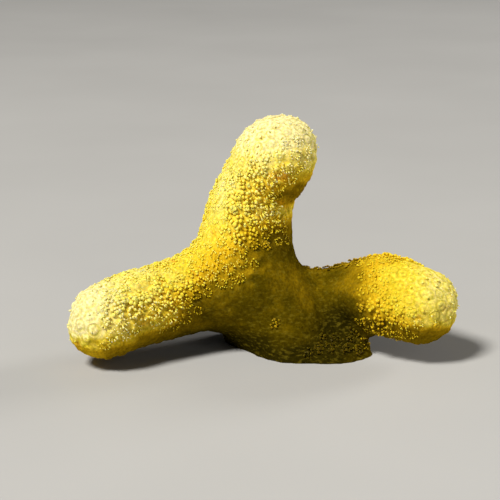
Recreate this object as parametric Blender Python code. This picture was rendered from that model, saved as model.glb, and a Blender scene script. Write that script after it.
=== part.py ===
"""Yellow finger coral: three stout, round-ended branches on a trunk that is cut off flat at its foot.

The colony grew as one body. It is parted at its three main forks, and it is covered all over with polyps:
low six-sided crowns between shallow valleys, and, at the ends of the branches, rings with a sunk middle.
"""

import bmesh
import bpy
import numpy as np
from mathutils import Vector
from mathutils.kdtree import KDTree

MM = 0.001

# Each limb is a list of places along its middle, with its radius there: x, y, z, radius in millimetres.
# The frame stands at the centre of the foot: +Z is up and the left branch comes forward, along -Y.
TRUNK = [(-7.1, 0.5, 9.6, 7.4), (-3.8, -0.8, 6.2, 7.0), (-1.0, -1.8, 2.6, 6.8), (0.4, -2.4, -1.0, 6.8)]
BASE_KNOB = [(6.6, -3.4, -2.4, 6.2), (5.8, -3.8, -3.0, 6.4)]
HEEL = [(-6.5, 2.0, 6.0, 6.0), (-6.3, 3.8, 0.5, 5.6)]
CROTCH = [(-11.3, 1.4, 13.8, 5.3), (-10.7, 1.4, 14.8, 5.2)]
LEFT_BRANCH = [
    (-7.5, 0.6, 10.2, 7.2),
    (-12.0, 0.4, 10.2, 7.4),
    (-16.0, -0.8, 9.3, 6.8),
    (-20.9, -3.0, 8.5, 6.5),
    (-26.3, -6.6, 7.9, 6.2),
    (-29.9, -9.6, 7.3, 6.1),
]
UPPER_BRANCH = [
    (-7.3, 1.2, 12.2, 7.0),
    (-7.7, 2.4, 17.0, 7.2),
    (-7.5, 3.0, 21.1, 7.1),
    (-6.6, 2.8, 25.4, 6.4),
    (-3.7, 2.4, 30.2, 6.8),
    (-1.8, 2.2, 32.2, 5.2),
]
RIGHT_BRANCH = [
    (1.8, 3.2, 7.0, 5.0),
    (5.9, 2.8, 7.8, 4.9),
    (9.9, 0.6, 8.6, 5.8),
    (13.9, -3.2, 9.4, 6.5),
    (18.9, -6.8, 8.9, 6.3),
]
LIMBS = (TRUNK, BASE_KNOB, HEEL, CROTCH, LEFT_BRANCH, UPPER_BRANCH, RIGHT_BRANCH)
FILLET = 2.8 * MM
PATH_STEPS = 8

# The skin: how far apart the polyps stand, and how high and deep they are.
SKIN_VOXEL = 0.45 * MM
POLYP_SPACING = 2.1 * MM
SPACING_PER_GAP = 1.4
EVENING_ROUNDS = 6
MOST_EXTRA_ROUNDS = 20
ROOT_DEPTH = 0.8 * MM
CROWN_RISE = 0.5 * MM
VALLEY_DEPTH = 0.2 * MM
RINGS_BEGIN = 0.8 * MM
RING_WALL = 0.34 * MM
RING_RISE = 0.4 * MM
RING_SINK = 0.45 * MM

# The forks: where each branch is parted from the trunk, the way it runs there, half the width of the cut.
LEFT_FORK = ((-16.0, -0.8, 9.3), (-10.3, -5.8, -1.4), 10.0)
UPPER_FORK = ((-7.6, 2.8, 19.5), (0.6, 0.1, 5.0), 11.0)
RIGHT_FORK = ((9.5, -1.0, 8.0), (8.5, -2.0, 4.5), 13.0)
FORK_REACH = 24.0 * MM
FORK_GAP = 0.3 * MM
GROUND_SIZE = 60.0 * MM

YELLOW_TIP = (0.83, 0.68, 0.2, 1.0)
YELLOW = (0.62, 0.4, 0.035, 1.0)
OCHRE = (0.3, 0.19, 0.02, 1.0)
CORAL_ROUGHNESS = 0.62


def smooth_path(limb):
    """Places and radii along a smooth curve through a limb's own, in metres."""
    given = np.array(limb, float) * MM
    given = np.vstack([2 * given[0] - given[1], given, 2 * given[-1] - given[-2]])
    path = []
    for before, here, ahead, beyond in zip(given, given[1:], given[2:], given[3:]):
        for t in np.arange(PATH_STEPS) / PATH_STEPS:
            bend = (2 * before - 5 * here + 4 * ahead - beyond) * t**2
            turn = (3 * here - before - 3 * ahead + beyond) * t**3
            path.append((2 * here + (ahead - before) * t + bend + turn) / 2)
    path.append(given[-2])
    return np.array(path)


PATHS = [smooth_path(limb) for limb in LIMBS]


def distance_to_limb(path, points):
    """How far each point is outside the limb; less than nothing inside it."""
    nearest = np.full(len(points), np.inf)
    for start, end in zip(path, path[1:]):
        run = end - start
        along = np.clip((points - start[:3]) @ run[:3] / (run[:3] @ run[:3]), 0, 1)
        middle = start + along[:, None] * run
        from_wall = np.linalg.norm(points - middle[:, :3], axis=1) - middle[:, 3]
        nearest = np.minimum(nearest, from_wall)
    return nearest


def distance_to_body(points):
    """How far each point is outside the colony, with every fork filled by a soft fillet."""
    body = distance_to_limb(PATHS[0], points)
    for path in PATHS[1:]:
        limb = distance_to_limb(path, points)
        share = np.clip(0.5 + 0.5 * (limb - body) / FILLET, 0, 1)
        body = limb + (body - limb) * share - FILLET * share * (1 - share)
    return body


def outward(points):
    """The way out of the colony at each point."""
    step = 0.05 * MM
    steps = step * np.eye(3)
    slopes = [distance_to_body(points + across) - distance_to_body(points - across) for across in steps]
    ways = np.stack(slopes, axis=1)
    return ways / np.linalg.norm(ways, axis=1, keepdims=True)


def settle(points, rounds=3):
    """The points moved onto the colony's surface."""
    for _ in range(rounds):
        points = points - distance_to_body(points)[:, None] * outward(points)
    return points


def rough_body():
    """Balls along every limb, melted into one closed mesh of small faces: its points and triangles."""
    balls = bmesh.new()
    for path in PATHS:
        for x, y, z, radius in path[::2]:
            made = bmesh.ops.create_icosphere(balls, subdivisions=3, radius=radius)
            bmesh.ops.translate(balls, verts=made["verts"], vec=(x, y, z))
    mesh = bpy.data.meshes.new("limb_balls")
    balls.to_mesh(mesh)
    balls.free()
    rough = bpy.data.objects.new("limb_balls", mesh)
    bpy.context.scene.collection.objects.link(rough)
    melt = rough.modifiers.new("melt", "REMESH")
    melt.mode = "VOXEL"
    melt.voxel_size = SKIN_VOXEL
    graph = bpy.context.evaluated_depsgraph_get()
    melted = bpy.data.meshes.new_from_object(rough.evaluated_get(graph))
    melted.calc_loop_triangles()
    points = np.array([vertex.co for vertex in melted.vertices])
    triangles = np.array([triangle.vertices for triangle in melted.loop_triangles])
    bpy.data.objects.remove(rough)
    bpy.data.meshes.remove(mesh)
    bpy.data.meshes.remove(melted)
    return settle(points), triangles


def roots_of(points):
    """Places a little under the skin, where the two sides of a cleft stand farther apart."""
    return points - ROOT_DEPTH * outward(points)


def nearest_polyp(polyps, roots):
    """For each root, the number of the polyp whose own root is nearest to it."""
    tree = KDTree(len(polyps))
    for number, root in enumerate(roots_of(polyps)):
        tree.insert(root, number)
    tree.balance()
    return np.array([tree.find(root)[1] for root in roots])


def spread_polyps(points, roots):
    """Places spread over the skin, each new one in the middle of the widest gap left."""
    chosen = [0]
    far = np.linalg.norm(roots - roots[0], axis=1)
    while far.max() > POLYP_SPACING / SPACING_PER_GAP:
        chosen.append(int(far.argmax()))
        far = np.minimum(far, np.linalg.norm(roots - roots[chosen[-1]], axis=1))
    return points[chosen]


def even_out(points, roots, polyps, rounds):
    """The polyps, each moved to the middle of the skin that is nearest to it."""
    for _ in range(rounds):
        owner = nearest_polyp(polyps, roots)
        share = np.bincount(owner, minlength=len(polyps))[:, None]
        sums = np.stack([np.bincount(owner, points[:, axis], len(polyps)) for axis in range(3)], axis=1)
        polyps = settle(sums / share)
    return polyps


def meetings(triangles, owner):
    """The threes of polyps that meet at a corner, in order, or none where two polyps meet twice."""
    threes = [tuple(int(polyp) for polyp in three) for three in owner[triangles] if len(set(three)) == 3]
    sides = [side for a, b, c in threes for side in ((a, b), (b, c), (c, a))]
    return threes if len(set(sides)) == len(sides) else []


def grow_polyps(points, triangles):
    """The polyps' places, and the threes that meet at each corner."""
    roots = roots_of(points)
    polyps = even_out(points, roots, spread_polyps(points, roots), EVENING_ROUNDS)
    for _ in range(MOST_EXTRA_ROUNDS):
        threes = meetings(triangles, nearest_polyp(polyps, roots))
        if threes:
            return polyps, threes
        polyps = even_out(points, roots, polyps, 1)
    raise ValueError("the polyps don't settle into one net")


def polyp_rims(count, threes):
    """For each polyp, the numbers of its corners in order around it."""
    following = [{} for _ in range(count)]
    for number, (a, b, c) in enumerate(threes):
        following[a][b] = (c, number)
        following[b][c] = (a, number)
        following[c][a] = (b, number)
    rims = []
    for around in following:
        neighbour = min(around)
        rim = []
        for _ in around:
            neighbour, number = around[neighbour]
            rim.append(number)
        rims.append(rim)
    return rims


def on_a_branch_end(face):
    """Whether a polyp lies on the rounded end of a branch, past the last place on its middle line."""
    for limb in (LEFT_BRANCH, UPPER_BRANCH, RIGHT_BRANCH):
        before, end = (Vector(place[:3]) * MM for place in limb[-2:])
        radius = limb[-1][3] * MM
        out = face.calc_center_median() - end
        if out.length < radius + POLYP_SPACING and out.dot((end - before).normalized()) > RINGS_BEGIN:
            return True
    return False


def coral_body():
    """The whole colony's mesh, one face for each polyp raised to a crown or sunk to a ring."""
    polyps, threes = grow_polyps(*rough_body())
    corners = settle(np.array([polyps[list(three)].mean(axis=0) for three in threes]))
    corners = corners - VALLEY_DEPTH * outward(corners)
    body = bmesh.new()
    places = [body.verts.new(corner) for corner in corners]
    for rim in polyp_rims(len(polyps), threes):
        body.faces.new([places[number] for number in rim])
    body.normal_update()
    rings = [face for face in body.faces if on_a_branch_end(face)]
    crowns = [face for face in body.faces if not on_a_branch_end(face)]
    bmesh.ops.inset_individual(body, faces=rings, thickness=RING_WALL, depth=RING_RISE)
    bmesh.ops.poke(body, faces=rings, offset=-RING_SINK)
    bmesh.ops.poke(body, faces=crowns, offset=CROWN_RISE)
    bmesh.ops.triangulate(body, faces=body.faces[:])
    mesh = bpy.data.meshes.new("coral_body")
    body.to_mesh(mesh)
    body.free()
    return mesh


def coral_material(name, colour):
    material = bpy.data.materials.new(name)
    material.use_nodes = True
    shader = material.node_tree.nodes["Principled BSDF"]
    shader.inputs["Base Color"].default_value = colour
    shader.inputs["Roughness"].default_value = CORAL_ROUGHNESS
    shader.inputs["Metallic"].default_value = 0.0
    return material


def add_object(name, mesh):
    obj = bpy.data.objects.new(name, mesh)
    bpy.context.scene.collection.objects.link(obj)
    return obj


def box_cutter(name, low, high):
    """A box between two corners, kept out of the render."""
    box = bmesh.new()
    bmesh.ops.create_cube(box, size=1)
    size = Vector(high) - Vector(low)
    bmesh.ops.scale(box, verts=box.verts, vec=size)
    bmesh.ops.translate(box, verts=box.verts, vec=(Vector(low) + Vector(high)) / 2)
    mesh = bpy.data.meshes.new(name)
    box.to_mesh(mesh)
    box.free()
    cutter = add_object(name, mesh)
    cutter.hide_render = True
    cutter.display_type = "WIRE"
    return cutter


def fork_cutter(name, fork, inset):
    """A box around a branch, from its fork outwards; its sides are drawn in by the inset."""
    place, way, half_width = fork
    side = half_width * MM - inset
    cutter = box_cutter(name, (-side, -side, inset), (side, side, FORK_REACH - inset))
    cutter.location = Vector(place) * MM
    cutter.rotation_mode = "QUATERNION"
    cutter.rotation_quaternion = Vector(way).to_track_quat("Z", "Y")
    return cutter


def cut(obj, cutter, operation):
    modifier = obj.modifiers.new(cutter.name, "BOOLEAN")
    modifier.operation = operation
    modifier.solver = "EXACT"
    modifier.object = cutter


def add_branch(name, body, fork, colour):
    """The part of the colony beyond a fork."""
    branch = add_object(name, body.copy())
    branch.data.materials.append(coral_material(name, colour))
    cut(branch, fork_cutter(name + "_end", fork, FORK_GAP), "INTERSECT")
    return branch


def add_trunk(body, forks):
    """What is left between the forks, cut off flat at the ground."""
    trunk = add_object("trunk", body.copy())
    trunk.data.materials.append(coral_material("trunk", OCHRE))
    half = GROUND_SIZE / 2
    cut(trunk, box_cutter("ground", (-half, -half, -half), (half, half, 0)), "DIFFERENCE")
    for name, fork in forks.items():
        cut(trunk, fork_cutter(name + "_fork", fork, 0.0), "DIFFERENCE")
    return trunk


def main():
    for obj in list(bpy.data.objects):
        bpy.data.objects.remove(obj)
    body = coral_body()
    forks = {"left_branch": LEFT_FORK, "upper_branch": UPPER_FORK, "right_branch": RIGHT_FORK}
    add_trunk(body, forks)
    add_branch("left_branch", body, LEFT_FORK, YELLOW)
    add_branch("upper_branch", body, UPPER_FORK, YELLOW_TIP)
    add_branch("right_branch", body, RIGHT_FORK, YELLOW)


main()
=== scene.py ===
"""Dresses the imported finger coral: its living skin, every polyp with its cup and tentacles, and the cut foot.

The skin is drawn over the solids. It is divided into one cell for each polyp, and each cell is modelled as a
drawn-in ring near the branch ends or as an open polyp elsewhere. All lengths are in metres, apart from the
tables that say millimetres.
"""

import math

import bpy
import numpy as np
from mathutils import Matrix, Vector, noise
from mathutils.bvhtree import BVHTree
from mathutils.kdtree import KDTree


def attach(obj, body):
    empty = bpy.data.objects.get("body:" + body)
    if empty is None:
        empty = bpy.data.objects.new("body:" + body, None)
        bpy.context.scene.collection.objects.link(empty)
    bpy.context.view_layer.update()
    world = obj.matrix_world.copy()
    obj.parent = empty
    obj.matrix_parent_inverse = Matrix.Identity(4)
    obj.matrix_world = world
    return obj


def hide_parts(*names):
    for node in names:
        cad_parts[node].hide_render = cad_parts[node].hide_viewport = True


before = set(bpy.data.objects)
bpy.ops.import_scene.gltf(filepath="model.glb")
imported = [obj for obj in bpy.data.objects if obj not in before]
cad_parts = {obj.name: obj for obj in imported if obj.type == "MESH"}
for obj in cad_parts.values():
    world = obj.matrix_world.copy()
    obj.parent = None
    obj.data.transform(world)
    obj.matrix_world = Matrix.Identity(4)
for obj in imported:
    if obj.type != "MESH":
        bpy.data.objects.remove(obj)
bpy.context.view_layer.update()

MM = 0.001
BRANCHES = ("left_branch", "upper_branch", "right_branch")
NODES = ("trunk",) + BRANCHES

# The smooth skin under the polyps, taken from the solids.
MERGE_WITHIN = 0.01 * MM
CUT_WITHIN = 0.0001 * MM
FOOT_RUN_ON = 3.0 * MM
FORK_SWELL = 0.3 * MM
SKIN_VOXEL = 0.4 * MM
SMOOTHING_ROUNDS = 20
SKIN_DRAWN_IN = 0.22 * MM

# The coral is a little slimmer than its solids all over, and more in some places. In millimetres: the
# middle of each place, how far it reaches and how deep it goes.
SLIMMER_ALL_OVER = 0.28
SLIMMER = (
    ((-12.5, 0.5, 30.0), 8.0, 0.8),
    ((-7.5, 0.0, 36.5), 5.0, 0.35),
    ((6.5, 0.0, 13.0), 7.0, 0.8),
    ((-35.0, -9.0, 9.0), 5.0, 0.6),
    ((-22.0, -3.0, 15.0), 6.0, 0.35),
)

# How the polyps are spread over it.
POLYP_SPACINGS = (2.1 * MM, 2.05 * MM, 2.15 * MM, 2.0 * MM, 2.2 * MM)
SPACING_PER_GAP = 1.4
EVENING_ROUNDS = 6
MOST_EXTRA_ROUNDS = 30
ROOT_DEPTH = 0.8 * MM
STEPS_PER_SIDE = 4

# Where the polyps are drawn in to rings: the distance from each branch's end, how far it strays, and how
# much shorter it is on a side that faces right.
RING_REACH = {"left_branch": 9.0 * MM, "upper_branch": 10.5 * MM, "right_branch": 10.5 * MM}
RING_FADE = 8.0 * MM
RINGS_STRAY = 1.2 * MM
RINGS_STRAY_LENGTH = 4.0 * MM
FEWER_AT_RIGHT = 1.5 * MM

# The side the light falls on, roughly the way to the key lamp. How far a surface faces away from it runs
# from -1 to 1: over the first pair the tissue's colour is painted darker as shade, over the next the trunk
# counts as shaded, and so on.
LIT_SIDE = (-0.5, -0.25, 0.83)
SHADE = (-0.8, 0.1)
SHADE_OF_HEART = (-0.85, -0.35)
FULL_SUN = (-0.85, -0.5)
FULL_SHADE = (0.0, 0.4)
EDGE_OF_LIGHT = (-0.42, -0.1)
DEEP_SHADE = (0.25, 0.55)

# How dark the tissue's colour is, from 0 at the branch ends to 1 and more: darker with age past an end, its
# own colour; round the heart of the trunk, partly its own colour and partly painted shade; and painted shade
# on the side facing away from the light, low down and underneath. FAR_FROM_END is in millimetres.
YOUNG_WITHIN = 3.0 * MM
GROWN_BY = 13.0 * MM
FAR_FROM_END = {"left_branch": (13.0, 28.0), "upper_branch": (13.0, 28.0), "right_branch": (13.0, 19.0)}
HEART_LOW = np.array((-7.5, -2.6, 2.0)) * MM
HEART_HIGH = np.array((0.0, 2.6, 9.5)) * MM
HEART_REACH = 6.5 * MM
HEART_FADE = 8.5 * MM
AGE_PAST_END = {"left_branch": 0.3, "upper_branch": 0.27, "right_branch": 0.3}
AGE_FAR_FROM_END = {"left_branch": 0.12, "upper_branch": 0.12, "right_branch": 0.16}
WARMER = {"left_branch": 0.0, "upper_branch": 0.0, "right_branch": 0.22}
BRANCH_BLEND = 2.0 * MM
# Round the heart the colour darkens, partly as the tissue's own older colour and partly as painted shade.
AGE_AND_SHADE_AT_HEART = 0.3
SHADE_ON_BRANCH = 0.08
SHADE_AT_HEART = 0.65
PAINTED_SHADE_LOW_DOWN = 0.4
PAINTED_SHADE_UNDERNEATH = 0.5
UNDERNEATH = (-0.02, 0.65)
DARKEST_ON_BRANCH = 0.88
DARKEST_AT_HEART = 0.98
LOW_BELOW = 6.0 * MM

# Places painted darker or paler than round about: painted shadow in the hollow below the right branch's neck,
# painted light on the neck and on the right side of the upper branch, and darker on the front of the right
# branch. In millimetres: the middle and how far it reaches, and then the darkness added.
PAINTED_SHADE_AND_LIGHT = (
    ((6.0, -4.0, 5.5), 7.0, 0.3),
    ((3.5, -6.0, 11.8), 7.0, -0.2),
    ((-0.7, -2.0, 20.7), 6.0, -0.12),
    ((12.6, -6.0, 11.0), 6.0, 0.12),
)

# How far the polyps are shut in full light, in the shade and on the trunk, as a share, and how far they
# are open elsewhere. They are shut at the neck of the right branch too, and below the fork their
# tentacles are long.
SHUT_IN_SUN = 0.85
SHUT_IN_SHADE = 0.97
SHUT_AT_HEART = 1.0
SMOOTHER_AT_HEART = 0.92
USUALLY_OPEN = 0.86
OPEN_STRAY = 0.25
OPEN_STRAY_LENGTH = 1.5 * MM
CALM_NECK = np.array((5.5, -3.0, 9.0)) * MM
CALM_REACH = 9.0 * MM
LONG_AT_FORK = np.array((-9.0, -6.0, 12.5)) * MM
LONG_REACH = 8.0 * MM
SHORTER_IN_SHADE = 0.7

# A cell from its wall, at 1, to its mouth, at 0: the height of the skin there, drawn in and open.
CELL_RINGS = (1.0, 0.87, 0.74, 0.61, 0.48, 0.34, 0.18, 0.0)
DRAWN_IN_HEIGHTS = np.array((0.04, 0.03, -0.01, 0.0, 0.09, 0.17, 0.17, 0.08)) * MM
OPEN_HEIGHTS = np.array((-0.1, -0.07, 0.02, 0.13, 0.24, 0.32, 0.34, 0.3)) * MM
LEAST_RELIEF = 0.35
MOST_RELIEF = 1.1
ROUND_WITHIN = 0.75
SEPTA = 12
SEPTUM_HEIGHT = 0.02 * MM
SEPTA_START = (0.1, 0.4)
SEPTA_END = (0.8, 1.0)
UNEVEN_HEIGHT = 0.09 * MM
UNEVEN_LENGTH = 1.3 * MM
LUMP_HEIGHT = 0.22 * MM
LUMP_LENGTH = 5.0 * MM
GRAIN_HEIGHT = 0.13 * MM
GRAIN_LENGTH = 0.75 * MM
GRAIN_DRAWN_IN = 0.6

# Tentacles: their shape, how many, how much paler their knobs are, and how far each strays from the rest.
TENTACLE_SIDES = 6
STEM_RADIUS = 0.15
RISES_AND_GROWTHS = ((0.6, 0.75), (0.22, 1.75), (0.13, 0.7))
TIP_RISE = 0.05
KNOB = (0.35, 0.85)
THIN_TENTACLES = 12
STOUT_TENTACLES = 11
MOST_STRAY_TENTACLES = 3
STRAY_OPEN = 0.22
OLDEST_WITH_STRAYS = 0.45
INNER_CIRCLE = 0.27
OUTER_CIRCLE = 0.65
STRETCHED_CIRCLE = 0.4
STOUT_PALER = 0.12
THIN_PALER = 0.3
PALER_AT_HEART = 0.1
STOUT_LENGTH = 0.42 * MM
STOUT_THICKNESS = 1.6 * MM
STOUT_FULLNESS = ((0.0, 0.6, 0.82, 0.95, 1.0), (1.5, 1.75, 0.95, 0.8, 0.8))
THIN_LENGTH = 0.95 * MM
THIN_THICKNESS = 0.85 * MM
CROWN_TILT = math.radians(16.0)
LEAST_OPEN = 0.07
CALMEST_WITH_TENTACLES = 0.93
LOWEST_TENTACLE = 1.4 * MM
ROOT_SUNK_IN = 0.06 * MM
SHORTEST_SHARE = 0.25
THINNEST_SHARE = 0.55
TURN_STRAY = 0.35
STOUT_CIRCLE_STRAY = 0.12
THIN_CIRCLE_STRAY = 0.18
STOUT_LEAN = (-20.0, 40.0)
THIN_LEAN = 35.0
LENGTH_STRAY = (0.6, 1.3)
THICKNESS_STRAY = (0.65, 1.35)
CURL = (-0.15, 0.35)
SIDE_CURL = 0.2
AGE_STRAY = (-0.03, 0.09)
RANDOM_SEED = 7

# The camera and the light.
LOOK_AT = Vector((-7.42, 1.2, 15.69)) * MM
CAMERA_DISTANCE = 250.0 * MM
CAMERA_ELEVATION = math.radians(15.0)
FRAME_WIDTH = 80.0 * MM
SENSOR_WIDTH = 36.0


def select_only(*objects):
    bpy.ops.object.select_all(action="DESELECT")
    for obj in objects:
        obj.select_set(True)
    bpy.context.view_layer.objects.active = objects[-1]


def add_object(name, mesh):
    obj = bpy.data.objects.new(name, mesh)
    bpy.context.scene.collection.objects.link(obj)
    return obj


def apply_modifier(obj, name, kind, **settings):
    select_only(obj)
    modifier = obj.modifiers.new(name, kind)
    for setting, value in settings.items():
        setattr(modifier, setting, value)
    bpy.ops.object.modifier_apply(modifier=name)


def smoothstep(values, low, high):
    share = np.clip((values - low) / (high - low), 0.0, 1.0)
    return share * share * (3.0 - 2.0 * share)


def between(first, second, share):
    return first + (second - first) * share


# The smooth skin.

def smooth_skin():
    """The solids as one body without their crowns: swollen to meet at the forks, melted together and smoothed."""
    copies = [add_object(name + "_copy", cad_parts[name].data.copy()) for name in NODES]
    select_only(*copies)
    bpy.ops.object.join()
    skin = bpy.context.view_layer.objects.active
    skin.name = "smooth_skin"
    bpy.ops.object.mode_set(mode="EDIT")
    bpy.ops.mesh.select_all(action="SELECT")
    bpy.ops.mesh.remove_doubles(threshold=MERGE_WITHIN)
    bpy.ops.mesh.select_all(action="DESELECT")
    bpy.ops.object.mode_set(mode="OBJECT")
    for face in skin.data.polygons:
        face.select = face.normal.z < -0.99 and abs(face.center.z) < MERGE_WITHIN
    bpy.ops.object.mode_set(mode="EDIT")
    bpy.ops.mesh.extrude_region_move(TRANSFORM_OT_translate={"value": (0.0, 0.0, -FOOT_RUN_ON)})
    bpy.ops.object.mode_set(mode="OBJECT")
    apply_modifier(skin, "swell", "DISPLACE", strength=FORK_SWELL, mid_level=0.0)
    apply_modifier(skin, "melt", "REMESH", mode="VOXEL", voxel_size=SKIN_VOXEL)
    apply_modifier(skin, "smooth", "SMOOTH", factor=0.5, iterations=SMOOTHING_ROUNDS)
    apply_modifier(skin, "draw_in", "DISPLACE", strength=-SKIN_DRAWN_IN, mid_level=0.0)
    return skin


def slimness(places):
    """How much slimmer than its solids the coral is at each place."""
    depth = np.full(len(places), SLIMMER_ALL_OVER * MM)
    for middle, reach, deepest in SLIMMER:
        distance = np.linalg.norm(places - np.array(middle) * MM, axis=1)
        depth += deepest * MM * smoothstep(-distance, -reach * MM, 0.0)
    return depth


class Skin:
    """The smooth skin as arrays, with the nearest place on it and the way out from there."""

    def __init__(self, obj):
        mesh = obj.data
        mesh.calc_loop_triangles()
        self.points = np.array([vertex.co for vertex in mesh.vertices])
        self.normals = np.array([normal.vector for normal in mesh.vertex_normals])
        self.triangles = np.array([triangle.vertices for triangle in mesh.loop_triangles])
        self.tree = BVHTree.FromPolygons(self.points.tolist(), self.triangles.tolist())
        self.roots = self.points - ROOT_DEPTH * self.normals

    def settle(self, points):
        """The points moved to the nearest places on the skin, and the smooth normals there."""
        hits = [self.tree.find_nearest(point) for point in points.tolist()]
        places = np.array([hit[0] for hit in hits])
        three = self.triangles[np.array([hit[2] for hit in hits])]
        a, b, c = (self.points[three[:, number]] for number in range(3))
        ab, ac, ap = b - a, c - a, places - a
        bb, bc, cc = (ab * ab).sum(1), (ab * ac).sum(1), (ac * ac).sum(1)
        pb, pc = (ap * ab).sum(1), (ap * ac).sum(1)
        whole = bb * cc - bc * bc
        v = (cc * pb - bc * pc) / whole
        w = (bb * pc - bc * pb) / whole
        shares = np.stack([1 - v - w, v, w], axis=1)
        normals = (shares[:, :, None] * self.normals[three]).sum(axis=1)
        return places, normals / np.linalg.norm(normals, axis=1, keepdims=True)


# The net of polyps.

def nearest_polyp(skin, polyps):
    """For each point of the skin, the number of the polyp whose own root is nearest to its root."""
    places, normals = skin.settle(polyps)
    tree = KDTree(len(polyps))
    for number, root in enumerate(places - ROOT_DEPTH * normals):
        tree.insert(root, number)
    tree.balance()
    return np.array([tree.find(root)[1] for root in skin.roots])


def spread_polyps(skin, spacing):
    """Places spread over the skin, each new one in the middle of the widest gap left."""
    chosen = [0]
    far = np.linalg.norm(skin.roots - skin.roots[0], axis=1)
    while far.max() > spacing / SPACING_PER_GAP:
        chosen.append(int(far.argmax()))
        far = np.minimum(far, np.linalg.norm(skin.roots - skin.roots[chosen[-1]], axis=1))
    return skin.points[chosen]


def even_out(skin, polyps):
    """The polyps, each moved to the middle of the skin that is nearest to it."""
    owner = nearest_polyp(skin, polyps)
    share = np.bincount(owner, minlength=len(polyps))[:, None]
    sums = np.stack([np.bincount(owner, skin.points[:, axis], len(polyps)) for axis in range(3)], axis=1)
    return skin.settle(sums / share)[0]


def meetings(skin, owner):
    """The threes of polyps that meet at a corner, or none where two polyps meet twice."""
    corners = [three for three in owner[skin.triangles] if len(set(three)) == 3]
    threes = [tuple(int(polyp) for polyp in three) for three in corners]
    sides = [side for a, b, c in threes for side in ((a, b), (b, c), (c, a))]
    return threes if len(set(sides)) == len(sides) else []


def grow_polyps(skin):
    """The polyps' places and the threes that meet at each corner, at the first spacing that gives a whole net."""
    for spacing in POLYP_SPACINGS:
        polyps = spread_polyps(skin, spacing)
        for _ in range(EVENING_ROUNDS):
            polyps = even_out(skin, polyps)
        for _ in range(MOST_EXTRA_ROUNDS):
            threes = meetings(skin, nearest_polyp(skin, polyps))
            if threes:
                return polyps, threes
            polyps = even_out(skin, polyps)
    raise ValueError("the polyps don't settle into one net")


def polyp_rims(count, threes):
    """For each polyp, the numbers of its corners in order around it."""
    following = [{} for _ in range(count)]
    for number, (a, b, c) in enumerate(threes):
        following[a][b] = (c, number)
        following[b][c] = (a, number)
        following[c][a] = (b, number)
    rims = []
    for around in following:
        neighbour = min(around)
        rim = []
        for _ in around:
            neighbour, number = around[neighbour]
            rim.append(number)
        rims.append(rim)
    return rims


# What each polyp is like.

def near_heart(places):
    """1 on the trunk, and down to 0 along the branches."""
    from_heart = np.linalg.norm(places - np.clip(places, HEART_LOW, HEART_HIGH), axis=1)
    return 1 - smoothstep(from_heart, HEART_REACH, HEART_REACH + HEART_FADE)


def branch_ends():
    """The farthest point of each branch from the heart."""
    middle = (HEART_LOW + HEART_HIGH) / 2
    ends = {}
    for name in BRANCHES:
        points = np.array([vertex.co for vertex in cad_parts[name].data.vertices])
        ends[name] = points[np.linalg.norm(points - middle, axis=1).argmax()]
    return ends


def node_of_each(polyps):
    """The number in NODES of the solid that each polyp lies on."""
    distances = []
    for name in NODES:
        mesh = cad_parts[name].data
        mesh.calc_loop_triangles()
        points = [tuple(vertex.co) for vertex in mesh.vertices]
        tree = BVHTree.FromPolygons(points, [tuple(face.vertices) for face in mesh.loop_triangles])
        distances.append([tree.find_nearest(polyp)[3] for polyp in polyps.tolist()])
    return np.array(distances).argmin(axis=0)


def uneven(points, length):
    """Smooth unevenness from about -1 to 1, with lumps of the given length."""
    return np.array([noise.noise(Vector(point) / length) for point in points.tolist()])


def away_from_light(normals):
    """How far each place faces away from the lit side, from -1 to 1."""
    return -normals @ np.array(LIT_SIDE)


def how_far_open(places, normals):
    """For each polyp, 0 where it is drawn in to a ring and up to 1 where it is open."""
    past_rings = np.full(len(places), np.inf)
    for name, end in branch_ends().items():
        past_rings = np.minimum(past_rings, np.linalg.norm(places - end, axis=1) - RING_REACH[name])
    past_rings = past_rings + RINGS_STRAY * uneven(places, RINGS_STRAY_LENGTH)
    past_rings = past_rings + FEWER_AT_RIGHT * normals[:, 0]
    opened = smoothstep(past_rings, -RING_FADE / 2, RING_FADE / 2)
    away = away_from_light(normals)
    sunny = 1 - SHUT_IN_SUN * (1 - smoothstep(away, *FULL_SUN))
    shaded = 1 - SHUT_IN_SHADE * smoothstep(away, *FULL_SHADE)
    at_heart = 1 - SHUT_AT_HEART * shaded_heart(places, normals)
    at_neck = 1 - smoothstep(-np.linalg.norm(places - CALM_NECK, axis=1), -CALM_REACH, -CALM_REACH / 2)
    varied = USUALLY_OPEN + OPEN_STRAY * uneven(places, OPEN_STRAY_LENGTH)
    return np.clip(opened * sunny * shaded * at_heart * at_neck * varied, 0, 1)


def shaded_heart(places, normals):
    """1 on the shaded side of the trunk, and down to 0 along the branches and towards the light."""
    return near_heart(places) * smoothstep(away_from_light(normals), *SHADE_OF_HEART)


def how_stretched(places, normals):
    """For each polyp, 0 where its tentacles are stout and short, and 1 along the edge of the light and below
    the fork, where they are long and thin."""
    away = away_from_light(normals)
    edge_of_light = smoothstep(away, *EDGE_OF_LIGHT) * (1 - SHORTER_IN_SHADE * smoothstep(away, *DEEP_SHADE))
    below_fork = smoothstep(-np.linalg.norm(places - LONG_AT_FORK, axis=1), -LONG_REACH, -LONG_REACH / 2)
    return np.maximum(edge_of_light, below_fork)


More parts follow.
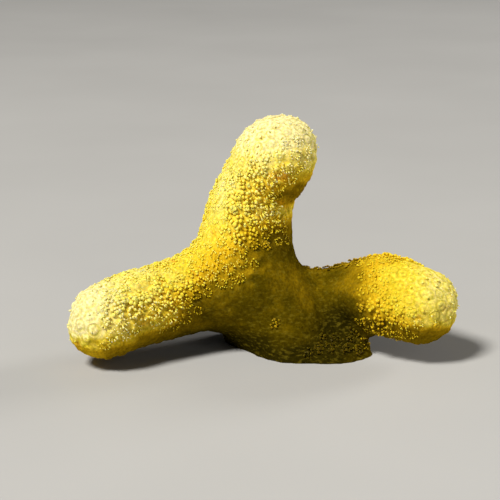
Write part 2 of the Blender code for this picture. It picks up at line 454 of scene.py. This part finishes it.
def age_and_shade_of(places, normals):
    """How dark the tissue is painted at each place: pale at the branch ends and darker with age, olive at the
    heart, partly its own colour and partly painted shade, and darker as painted shade away from the light,
    underneath and low down.
    """
    darkness = []
    distances = []
    for name, end in branch_ends().items():
        distance = np.linalg.norm(places - end, axis=1)
        grown = smoothstep(distance, YOUNG_WITHIN, GROWN_BY)
        far = smoothstep(distance / MM, *FAR_FROM_END[name])
        darkness.append(WARMER[name] + AGE_PAST_END[name] * grown + AGE_FAR_FROM_END[name] * far)
        distances.append(distance)
    weights = np.exp((np.min(distances, axis=0) - np.array(distances)) / BRANCH_BLEND)
    own_age = (weights * np.array(darkness)).sum(axis=0) / weights.sum(axis=0)
    at_heart = near_heart(places)
    # Painted shade: darker on the side that faces away from the light, a little on the branches and more round
    # the heart.
    in_shade = smoothstep(away_from_light(normals), *SHADE)
    # Painted shade low down by the foot and on the undersides.
    low_down = smoothstep(-places[:, 2], -LOW_BELOW, 0.0) * at_heart
    underneath = smoothstep(-normals[:, 2], *UNDERNEATH)
    shade = in_shade * (SHADE_ON_BRANCH + SHADE_AT_HEART * at_heart)
    high_up = own_age + AGE_AND_SHADE_AT_HEART * at_heart + shade + PAINTED_SHADE_UNDERNEATH * underneath
    darkest = between(DARKEST_ON_BRANCH, DARKEST_AT_HEART, at_heart)
    darkness = np.minimum(high_up, darkest) + PAINTED_SHADE_LOW_DOWN * low_down
    # Patches of painted shadow and painted light, and one darker patch.
    for middle, reach, added in PAINTED_SHADE_AND_LIGHT:
        distance = np.linalg.norm(places - np.array(middle) * MM, axis=1)
        darkness += added * smoothstep(-distance, -reach * MM, 0.0)
    return darkness


# The fine skin.

def interpolate_heights(s, opened):
    """The skin's height at a place in the cell, between the drawn-in shape and the open one."""
    order = CELL_RINGS[::-1]
    drawn_in = np.interp(s, order, DRAWN_IN_HEIGHTS[::-1])
    wide = np.interp(s, order, OPEN_HEIGHTS[::-1])
    return between(drawn_in, wide, opened)


class FineSkin:
    """The skin with every cell modelled: its points, its faces and their polyps, and its attributes."""

    def __init__(self, skin, polyps, threes):
        self.polyps, self.polyp_normals = skin.settle(polyps)
        self.opened = how_far_open(self.polyps, self.polyp_normals)
        self.stretched = how_stretched(self.polyps, self.polyp_normals)
        self.relief = np.random.default_rng(RANDOM_SEED).uniform(LEAST_RELIEF, MOST_RELIEF, len(polyps))
        self.near_heart = near_heart(self.polyps)
        self.shaded_heart = shaded_heart(self.polyps, self.polyp_normals)
        self.relief *= 1 - SMOOTHER_AT_HEART * self.shaded_heart
        self.rims = polyp_rims(len(polyps), threes)
        self.positions = []
        self.cup = []
        self.owners = []
        self.angle = []
        self.faces = []
        self.face_owner = []
        corners = skin.settle(np.array([self.polyps[list(three)].mean(axis=0) for three in threes]))[0]
        for corner, three in zip(corners, threes):
            self.add_point(corner, 1.0, three, 0.0)
        self.sides = {}
        self.lay_sides(corners)
        for polyp, rim in enumerate(self.rims):
            self.lay_cell(polyp, rim)
        raw = np.array(self.positions)
        self.cup = np.array(self.cup)
        places, normals = skin.settle(raw)
        heights = self.heights(places) - slimness(places)
        self.points = places + heights[:, None] * normals
        self.age_and_shade = age_and_shade_of(places, normals)
        self.polyp_age_and_shade = age_and_shade_of(self.polyps, self.polyp_normals)
        self.polyps -= slimness(self.polyps)[:, None] * self.polyp_normals

    def add_point(self, place, cup, owners, angle):
        self.positions.append(place)
        self.cup.append(cup)
        self.owners.append(owners)
        self.angle.append(angle)
        return len(self.positions) - 1

    def lay_sides(self, corners):
        """The points between the two corners of each side, which two cells share."""
        sharing = {}
        for polyp, rim in enumerate(self.rims):
            for start, end in zip(rim, rim[1:] + rim[:1]):
                sharing.setdefault((min(start, end), max(start, end)), []).append(polyp)
        for (start, end), owners in sharing.items():
            points = []
            for step in range(1, STEPS_PER_SIDE):
                place = corners[start] + (corners[end] - corners[start]) * step / STEPS_PER_SIDE
                points.append(self.add_point(place, 1.0, owners, 0.0))
            self.sides[start, end] = points
            self.sides[end, start] = points[::-1]

    def lay_cell(self, polyp, rim):
        """The rings of points inside a cell, rounder towards its mouth, and the faces between them."""
        border = []
        for start, end in zip(rim, rim[1:] + rim[:1]):
            border += [start] + self.sides[start, end]
        middle = self.polyps[polyp]
        spokes = np.array([self.positions[number] for number in border]) - middle
        reach = np.linalg.norm(spokes, axis=1)
        outer = border
        count = len(border)
        angles = 2 * math.pi * np.arange(count) / count
        for cup in CELL_RINGS[1:-1]:
            roundness = smoothstep(-cup, -1.0, -ROUND_WITHIN)
            stretch = cup * (1 + roundness * (reach.mean() / reach - 1))
            inner = [
                self.add_point(middle + spoke * length, cup, (polyp,), angle)
                for spoke, length, angle in zip(spokes, stretch, angles)
            ]
            for number in range(count):
                following = (number + 1) % count
                self.add_face((outer[number], outer[following], inner[following], inner[number]), polyp)
            outer = inner
        mouth = self.add_point(middle, 0.0, (polyp,), 0.0)
        for number in range(count):
            self.add_face((outer[number], outer[(number + 1) % count], mouth), polyp)

    def add_face(self, corners, polyp):
        self.faces.append(corners)
        self.face_owner.append(polyp)

    def heights(self, places):
        """How far the skin stands out at each point."""
        self.open_here = np.array([self.opened[list(owners)].mean() for owners in self.owners])
        septa = np.cos(SEPTA * np.array(self.angle)) * SEPTUM_HEIGHT
        septa *= smoothstep(self.cup, *SEPTA_START) * (1 - smoothstep(self.cup, *SEPTA_END))
        lumps = UNEVEN_HEIGHT * uneven(places, UNEVEN_LENGTH) + LUMP_HEIGHT * uneven(places, LUMP_LENGTH)
        grain = GRAIN_HEIGHT * uneven(places, GRAIN_LENGTH)
        grain *= GRAIN_DRAWN_IN + (1 - GRAIN_DRAWN_IN) * self.open_here
        relief = np.array([self.relief[list(owners)].mean() for owners in self.owners])
        return relief * interpolate_heights(self.cup, self.open_here) + septa + lumps + grain


def add_float_attribute(mesh, name, values):
    attribute = mesh.attributes.new(name, "FLOAT", "POINT")
    attribute.data.foreach_set("value", np.asarray(values, np.float32))


def skin_piece(fine, name, cells):
    """The skin over one solid: its cells, closed by caps where the coral is parted."""
    faces = [face for face, owner in zip(fine.faces, fine.face_owner) if cells[owner]]
    used = np.unique(np.concatenate([np.array(face) for face in faces]))
    place_of = np.full(len(fine.points), -1)
    place_of[used] = np.arange(len(used))
    mesh = bpy.data.meshes.new(name)
    mesh.from_pydata(fine.points[used].tolist(), [], [[int(place_of[v]) for v in face] for face in faces])
    add_float_attribute(mesh, "cup", fine.cup[used])
    add_float_attribute(mesh, "open", fine.open_here[used])
    add_float_attribute(mesh, "age_and_shade", fine.age_and_shade[used])
    mesh.shade_smooth()
    piece = add_object(name, mesh)
    select_only(piece)
    bpy.ops.object.mode_set(mode="EDIT")
    bpy.ops.mesh.select_mode(type="EDGE")
    bpy.ops.mesh.select_all(action="DESELECT")
    bpy.ops.mesh.select_non_manifold()
    bpy.ops.mesh.mark_sharp()
    bpy.ops.mesh.edge_face_add()
    bpy.ops.mesh.poke()
    bpy.ops.mesh.select_all(action="SELECT")
    bpy.ops.mesh.normals_make_consistent(inside=False)
    bpy.ops.object.mode_set(mode="OBJECT")
    return piece


def cut_foot(piece):
    """The trunk's skin cut off flat at the ground."""
    select_only(piece)
    bpy.ops.object.mode_set(mode="EDIT")
    bpy.ops.mesh.select_all(action="SELECT")
    bpy.ops.mesh.bisect(
        plane_co=(0, 0, 0), plane_no=(0, 0, 1), use_fill=True, clear_inner=True, threshold=CUT_WITHIN
    )
    bpy.ops.mesh.mark_sharp()
    bpy.ops.object.mode_set(mode="OBJECT")
    piece.data.materials.append(cut_skeleton())
    for face in piece.data.polygons:
        if face.normal.z < -0.99 and abs(face.center.z) < MERGE_WITHIN:
            face.material_index = 1
            face.use_smooth = False


# Tentacles.

def model_tentacle():
    """One tentacle, 1 long and straight up: a slim stem that ends in a round knob. Its points and faces."""
    bpy.ops.object.select_all(action="DESELECT")
    bpy.ops.mesh.primitive_circle_add(vertices=TENTACLE_SIDES, radius=STEM_RADIUS, fill_type="NGON")
    tentacle = bpy.context.active_object
    bpy.ops.object.mode_set(mode="EDIT")
    bpy.ops.mesh.select_all(action="SELECT")
    bpy.ops.mesh.flip_normals()
    for rise, growth in RISES_AND_GROWTHS:
        bpy.ops.mesh.extrude_region_move(TRANSFORM_OT_translate={"value": (0.0, 0.0, rise)})
        bpy.ops.transform.resize(value=(growth, growth, 1.0))
    bpy.ops.mesh.poke(offset=TIP_RISE)
    bpy.ops.mesh.select_all(action="SELECT")
    bpy.ops.mesh.normals_make_consistent(inside=False)
    bpy.ops.object.mode_set(mode="OBJECT")
    points = np.array([vertex.co for vertex in tentacle.data.vertices])
    faces = [list(face.vertices) for face in tentacle.data.polygons]
    bpy.data.objects.remove(tentacle)
    return points, faces


def frame_on_skin(normal, towards):
    """Three ways at a right angle to each other: along the skin, across it, and out."""
    along = towards - (towards @ normal) * normal
    along /= np.linalg.norm(along)
    return along, np.cross(normal, along), normal


def tentacle_piece(fine, name, cells, master, random):
    """The tentacles of the open polyps on one solid, as one mesh."""
    points, faces = master
    rise = points[:, 2]
    stout_fullness = np.interp(rise, *STOUT_FULLNESS)
    knob = smoothstep(rise, *KNOB)
    all_points = []
    age_and_shade_values = []
    for polyp in np.flatnonzero(cells):
        place, normal = fine.polyps[polyp], fine.polyp_normals[polyp]
        opened, stretched = fine.opened[polyp], fine.stretched[polyp]
        tentacles = round(between(STOUT_TENTACLES, THIN_TENTACLES, stretched))
        if opened < LEAST_OPEN:
            if fine.polyp_age_and_shade[polyp] > OLDEST_WITH_STRAYS:
                continue
            tentacles = random.integers(0, MOST_STRAY_TENTACLES)
            opened = STRAY_OPEN
        if place[2] < LOWEST_TENTACLE or fine.shaded_heart[polyp] > CALMEST_WITH_TENTACLES:
            continue
        corners = fine.points[fine.rims[polyp]]
        reach = np.linalg.norm(corners - place, axis=1).mean()
        along, across, out = frame_on_skin(normal, corners[0] - place)
        out = out + math.sin(CROWN_TILT) * (random.uniform(-1, 1) * along + random.uniform(-1, 1) * across)
        out /= np.linalg.norm(out)
        length = between(STOUT_LENGTH, THIN_LENGTH, stretched) * between(SHORTEST_SHARE, 1.0, opened)
        thickness = between(STOUT_THICKNESS, THIN_THICKNESS, stretched) * between(THINNEST_SHARE, 1.0, opened)
        fullness = between(stout_fullness, 1.0, stretched)
        paler = between(STOUT_PALER, THIN_PALER, stretched) + PALER_AT_HEART * fine.near_heart[polyp]
        turn = random.uniform(0, 2 * math.pi)
        for number in range(tentacles):
            angle = turn + 2 * math.pi * (number + random.uniform(-TURN_STRAY, TURN_STRAY)) / tentacles
            stout_circle = INNER_CIRCLE if number % 3 == 0 else OUTER_CIRCLE
            stout_circle += random.uniform(-STOUT_CIRCLE_STRAY, STOUT_CIRCLE_STRAY)
            thin_circle = STRETCHED_CIRCLE + random.uniform(-THIN_CIRCLE_STRAY, THIN_CIRCLE_STRAY)
            circle = between(stout_circle, thin_circle, stretched)
            lift = interpolate_heights(circle, opened) - ROOT_SUNK_IN
            outward = math.cos(angle) * along + math.sin(angle) * across
            sideways = np.cross(out, outward)
            lean = math.radians(random.uniform(*STOUT_LEAN) * (1 - stretched / 2) + THIN_LEAN * stretched)
            long = length * random.uniform(*LENGTH_STRAY)
            thick = thickness * random.uniform(*THICKNESS_STRAY) * fullness
            curl = random.uniform(*CURL)
            side_curl = SIDE_CURL * random.uniform(-1, 1)
            up = math.cos(lean) * out + math.sin(lean) * outward
            flat = math.cos(lean) * outward - math.sin(lean) * out
            root = place + reach * circle * outward + lift * out
            shape = (
                root
                + (long * rise)[:, None] * up
                + (thick * points[:, 0] + curl * long * rise**2)[:, None] * flat
                + (thick * points[:, 1] + side_curl * long * rise**2)[:, None] * sideways
            )
            all_points.append(shape)
            age_and_shade_values.append(fine.polyp_age_and_shade[polyp] + random.uniform(*AGE_STRAY) - paler * knob)
    mesh = bpy.data.meshes.new(name)
    joined = np.concatenate(all_points)
    count = len(points)
    all_faces = [[v + count * copy for v in face] for copy in range(len(all_points)) for face in faces]
    mesh.from_pydata(joined.tolist(), [], all_faces)
    add_float_attribute(mesh, "age_and_shade", np.concatenate(age_and_shade_values))
    mesh.shade_smooth()
    return add_object(name, mesh)


# Materials.

class Tree:
    """A material's nodes, added one by one from left to right."""

    def __init__(self, name):
        self.material = bpy.data.materials.new(name)
        self.material.use_nodes = True
        self.nodes = self.material.node_tree.nodes
        self.links = self.material.node_tree.links
        self.shader = self.nodes["Principled BSDF"]

    def add(self, kind, inputs=(), **settings):
        node = self.nodes.new(kind)
        for setting, value in settings.items():
            setattr(node, setting, value)
        for socket, value in dict(inputs).items():
            if isinstance(value, bpy.types.NodeSocket):
                self.links.new(value, node.inputs[socket])
            else:
                node.inputs[socket].default_value = value
        return node

    def attribute(self, name):
        return self.add("ShaderNodeAttribute", attribute_name=name).outputs["Fac"]

    def object_noise(self, scale, detail=3.0, roughness=0.5):
        place = self.add("ShaderNodeTexCoord").outputs["Object"]
        inputs = {"Vector": place, "Scale": scale, "Detail": detail, "Roughness": roughness}
        return self.add("ShaderNodeTexNoise", inputs).outputs["Fac"]

    def streak_noise(self):
        """Noise drawn out into short streaks that lie level or run down a little."""
        place = self.add("ShaderNodeTexCoord").outputs["Object"]
        turned = self.add("ShaderNodeMapping", {"Vector": place, "Rotation": (0.3, 0.5, 0.2),
                                                "Scale": (0.5, 0.7, 1.2)})
        inputs = {"Vector": turned.outputs["Vector"], "Scale": 2200.0, "Detail": 3.0}
        return self.add("ShaderNodeTexNoise", inputs).outputs["Fac"]

    def ramp(self, value, stops, interpolation="LINEAR"):
        node = self.add("ShaderNodeValToRGB", {"Fac": value})
        ramp = node.color_ramp
        ramp.interpolation = interpolation
        while len(ramp.elements) < len(stops):
            ramp.elements.new(1.0)
        for element, (position, colour) in zip(ramp.elements, stops):
            element.position = position
            element.color = colour
        return node.outputs["Color"]

    def span(self, value, low, high, to_low=0.0, to_high=1.0):
        inputs = {"Value": value, "From Min": low, "From Max": high, "To Min": to_low, "To Max": to_high}
        return self.add("ShaderNodeMapRange", inputs, interpolation_type="SMOOTHSTEP").outputs["Result"]

    def mix(self, share, first, second, blend="MIX"):
        node = self.add("ShaderNodeMix", data_type="RGBA", blend_type=blend)
        for socket, value in ((node.inputs[0], share), (node.inputs[6], first), (node.inputs[7], second)):
            if isinstance(value, bpy.types.NodeSocket):
                self.links.new(value, socket)
            else:
                socket.default_value = value
        return node.outputs[2]

    def times(self, first, second):
        node = self.add("ShaderNodeMath", operation="MULTIPLY")
        for socket, value in zip(node.inputs, (first, second)):
            if isinstance(value, bpy.types.NodeSocket):
                self.links.new(value, socket)
            else:
                socket.default_value = value
        return node.outputs["Value"]


def grey(value):
    return (value, value, value, 1.0)


CREAM = (0.9, 0.77, 0.38, 1.0)
PRIMROSE = (0.92, 0.76, 0.15, 1.0)
PALE_CREAM = (0.96, 0.86, 0.42, 1.0)
LEAF_GREEN = (0.46, 0.42, 0.015, 1.0)
LEMON = (0.84, 0.61, 0.035, 1.0)
GOLD = (0.66, 0.41, 0.01, 1.0)
OCHRE = (0.27, 0.165, 0.003, 1.0)
MOSS = (0.2, 0.15, 0.012, 1.0)
IVORY = (0.78, 0.7, 0.52, 1.0)
# Brown for the pores of the cut foot: partly their own colour, partly painted shade in the holes.
PORE_BROWN_AND_SHADE = (0.2, 0.14, 0.07, 1.0)
OLIVE = (0.085, 0.057, 0.001, 1.0)
DEEP_OLIVE = (0.024, 0.018, 0.001, 1.0)
ORANGE = (0.75, 0.26, 0.004, 1.0)
# The darkest stops, olive and deep olive, are reached mainly where painted shade is added.
DARKEST_STOP = 1.25
TISSUE_BY_AGE_AND_SHADE = ((0.0, CREAM), (0.2, PRIMROSE), (0.42, LEMON), (0.6, GOLD), (0.8, OCHRE), (1.0, OLIVE),
                 (DARKEST_STOP, DEEP_OLIVE))


def tissue_colour(tree, darker_by=0.0):
    """The coral's colour by its age and painted shade: cream, lemon, gold, ochre and olive."""
    drift = tree.span(tree.object_noise(220.0, 2.0), 0.25, 0.75, darker_by - 0.07, darker_by + 0.07)
    age_and_shade = tree.add("ShaderNodeMath", {0: tree.attribute("age_and_shade"), 1: drift}, operation="ADD").outputs["Value"]
    stops = [(at / DARKEST_STOP, colour) for at, colour in TISSUE_BY_AGE_AND_SHADE]
    return tree.ramp(tree.times(age_and_shade, 1 / DARKEST_STOP), stops)


def coral_skin(name):
    """Living skin: pale walls and green grooves round drawn-in polyps, and darker ground round open ones, partly
    its own colour and partly painted shade in the valleys between them.
    """
    tree = Tree(name)
    tissue = tissue_colour(tree)
    age_and_shade = tree.attribute("age_and_shade")
    cup = tree.attribute("cup")
    opened = tree.attribute("open")
    # These masks follow the age-and-shade value, so the pale walls, creams and green grooves fade where painted
    # shade darkens the tissue.
    young_and_unshaded = tree.span(age_and_shade, 0.08, 0.34, 1.0, 0.0)
    clear = tree.span(tree.object_noise(260.0, 2.0), 0.38, 0.62, 0.55, 1.0)
    lively_and_unshaded = tree.span(age_and_shade, 0.45, 0.75, 1.0, 0.0)
    ring_pale = tree.ramp(cup, ((0.0, grey(0.1)), (0.3, grey(0.9)), (0.42, grey(0.8)), (0.62, grey(0.1)),
                                (0.74, grey(0.1)), (0.92, grey(0.9)), (1.0, grey(1.0))))
    groove = tree.mix(tree.times(tree.times(clear, lively_and_unshaded), 0.45), tissue, LEAF_GREEN)
    wall = tree.mix(tree.times(tree.times(young_and_unshaded, clear), 0.45), tissue_colour(tree, -0.1), PALE_CREAM)
    drawn_in = tree.mix(lively_and_unshaded, tissue, tree.mix(ring_pale, groove, wall))
    # The ground in the valleys between open polyps is a little darker: partly its own colour, partly painted
    # shade in the creases.
    ground_and_crease_shade = tissue_colour(tree, 0.05)
    open_colour = tree.mix(tree.span(cup, 0.4, 0.75), tissue, ground_and_crease_shade)
    colour = tree.mix(opened, drawn_in, open_colour)
    patches = tree.times(tree.span(tree.object_noise(330.0, 4.0, 0.6), 0.54, 0.74), tree.span(age_and_shade, 0.75, 0.5))
    patches = tree.times(patches, tree.span(age_and_shade, 0.22, 0.42, 0.0, 0.6))
    colour = tree.mix(patches, colour, ORANGE)
    streaks = tree.times(tree.span(tree.streak_noise(), 0.5, 0.68), tree.span(age_and_shade, 0.6, 0.9, 0.0, 0.38))
    colour = tree.mix(streaks, colour, MOSS)
    greens = tree.times(tree.span(tree.object_noise(1500.0, 4.0, 0.6), 0.48, 0.66), tree.times(lively_and_unshaded, 0.3))
    colour = tree.mix(greens, colour, LEAF_GREEN)
    creams = tree.times(tree.span(tree.object_noise(1100.0, 4.0, 0.6), 0.5, 0.68), tree.times(young_and_unshaded, 0.4))
    colour = tree.mix(creams, colour, PALE_CREAM)
    mottle = tree.span(tree.object_noise(2200.0, 4.0, 0.65), 0.3, 0.7, 0.66, 1.18)
    tone = tree.add("ShaderNodeCombineColor", {"Red": mottle, "Green": mottle, "Blue": mottle}).outputs["Color"]
    colour = tree.mix(1.0, colour, tone, "MULTIPLY")
    shader = tree.shader
    tree.links.new(colour, shader.inputs["Base Color"])
    tree.links.new(tree.span(tree.object_noise(900.0), 0.3, 0.7, 0.42, 0.6), shader.inputs["Roughness"])
    shader.inputs["Specular IOR Level"].default_value = 0.0
    shader.inputs["Specular Tint"].default_value = PALE_CREAM
    shader.inputs["Subsurface Weight"].default_value = 0.25
    shader.inputs["Subsurface Radius"].default_value = (1.0, 0.7, 0.25)
    shader.inputs["Subsurface Scale"].default_value = 0.5 * MM
    bump = tree.add("ShaderNodeBump", {"Height": tree.object_noise(3500.0, 3.0), "Strength": 0.35,
                                       "Distance": 0.08 * MM})
    tree.links.new(bump.outputs["Normal"], shader.inputs["Normal"])
    return tree.material


def tentacle_skin(name):
    """Thin clear skin in the coral's colour, which its age-and-shade attribute, painted shade included, makes
    paler in the knobs.
    """
    tree = Tree(name)
    shader = tree.shader
    lively_and_unshaded = tree.span(tree.attribute("age_and_shade"), 0.45, 0.75, 1.0, 0.0)
    greens = tree.times(tree.span(tree.object_noise(900.0, 3.0), 0.48, 0.66), tree.times(lively_and_unshaded, 0.2))
    colour = tree.mix(greens, tissue_colour(tree), LEAF_GREEN)
    tree.links.new(colour, shader.inputs["Base Color"])
    shader.inputs["Roughness"].default_value = 0.4
    shader.inputs["Specular IOR Level"].default_value = 0.1
    shader.inputs["Specular Tint"].default_value = PALE_CREAM
    shader.inputs["Subsurface Weight"].default_value = 0.7
    shader.inputs["Subsurface Radius"].default_value = (1.0, 0.8, 0.35)
    shader.inputs["Subsurface Scale"].default_value = 0.6 * MM
    return tree.material


def cut_skeleton():
    """The sawn foot: ivory limestone, full of small pores painted brown, partly their own colour and partly
    painted shade in the holes.
    """
    tree = Tree("cut skeleton")
    place = tree.add("ShaderNodeTexCoord").outputs["Object"]
    pores = tree.add("ShaderNodeTexVoronoi", {"Vector": place, "Scale": 1500.0}).outputs["Distance"]
    stone = tree.mix(tree.span(tree.object_noise(150.0), 0.3, 0.7, 0.0, 0.5), IVORY, PRIMROSE)
    colour = tree.mix(tree.span(pores, 0.18, 0.42), PORE_BROWN_AND_SHADE, stone)
    tree.links.new(colour, tree.shader.inputs["Base Color"])
    tree.shader.inputs["Roughness"].default_value = 0.9
    tree.shader.inputs["Specular IOR Level"].default_value = 0.1
    bump = tree.add("ShaderNodeBump", {"Height": pores, "Strength": 0.6, "Distance": 0.1 * MM})
    tree.links.new(bump.outputs["Normal"], tree.shader.inputs["Normal"])
    return tree.material


def floor_material():
    tree = Tree("pale floor")
    shades = ((0.3, (0.41, 0.407, 0.403, 1.0)), (0.7, (0.44, 0.437, 0.433, 1.0)))
    tone = tree.ramp(tree.object_noise(12.0), shades)
    tree.links.new(tone, tree.shader.inputs["Base Color"])
    tree.shader.inputs["Roughness"].default_value = 0.7
    return tree.material


# The stage.

def add_floor():
    bpy.ops.object.select_all(action="DESELECT")
    bpy.ops.mesh.primitive_plane_add(size=3.0, location=(0.0, 0.0, 0.0))
    floor = bpy.context.active_object
    floor.name = "floor"
    floor.data.materials.append(floor_material())


def add_area_light(name, place, power, size, colour):
    light = bpy.data.lights.new(name, "AREA")
    light.energy = power
    light.shape = "DISK"
    light.size = size
    light.color = colour
    lamp = bpy.data.objects.new(name, light)
    bpy.context.scene.collection.objects.link(lamp)
    lamp.location = Vector(place)
    lamp.rotation_mode = "QUATERNION"
    lamp.rotation_quaternion = (LOOK_AT - lamp.location).to_track_quat("-Z", "Y")


def add_lights():
    add_area_light("key", (-0.67, -0.72, 1.25), 37.0, 0.4, (1.0, 0.97, 0.9))
    add_area_light("fill", (0.3, -0.35, 0.2), 0.25, 0.3, (1.0, 0.98, 0.92))
    add_area_light("back", (1.0, 0.6, 0.4), 8.0, 0.4, (1.0, 0.98, 0.94))
    world = bpy.data.worlds.new("studio")
    world.use_nodes = True
    background = world.node_tree.nodes["Background"]
    background.inputs["Color"].default_value = (0.9, 0.93, 1.0, 1.0)
    background.inputs["Strength"].default_value = 0.03
    bpy.context.scene.world = world
    bpy.context.scene.view_settings.view_transform = "Standard"


def add_camera():
    camera = bpy.data.cameras.new("camera")
    camera.sensor_width = SENSOR_WIDTH
    camera.lens = SENSOR_WIDTH * CAMERA_DISTANCE / FRAME_WIDTH
    camera.clip_start = 0.01
    camera.clip_end = 10.0
    obj = bpy.data.objects.new("camera", camera)
    bpy.context.scene.collection.objects.link(obj)
    back = Vector((0.0, -math.cos(CAMERA_ELEVATION), math.sin(CAMERA_ELEVATION)))
    obj.location = LOOK_AT + CAMERA_DISTANCE * back
    obj.rotation_euler = (math.pi / 2 - CAMERA_ELEVATION, 0.0, 0.0)
    bpy.context.scene.camera = obj


def dress_coral():
    """The skin and the tentacles over each solid."""
    smooth = smooth_skin()
    skin = Skin(smooth)
    polyps, threes = grow_polyps(skin)
    fine = FineSkin(skin, polyps, threes)
    node_numbers = node_of_each(fine.polyps)
    bpy.data.objects.remove(smooth)
    master = model_tentacle()
    random = np.random.default_rng(RANDOM_SEED)
    skin_material = coral_skin("coral skin")
    tentacle_material = tentacle_skin("tentacle skin")
    for number, node in enumerate(NODES):
        cells = node_numbers == number
        piece = skin_piece(fine, node + "_skin", cells)
        piece.data.materials.append(skin_material)
        if node == "trunk":
            cut_foot(piece)
        tentacles = tentacle_piece(fine, node + "_tentacles", cells, master, random)
        tentacles.data.materials.append(tentacle_material)
        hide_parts(node)
        for made in (piece, tentacles):
            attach(made, "root")


dress_coral()
add_floor()
add_lights()
add_camera()
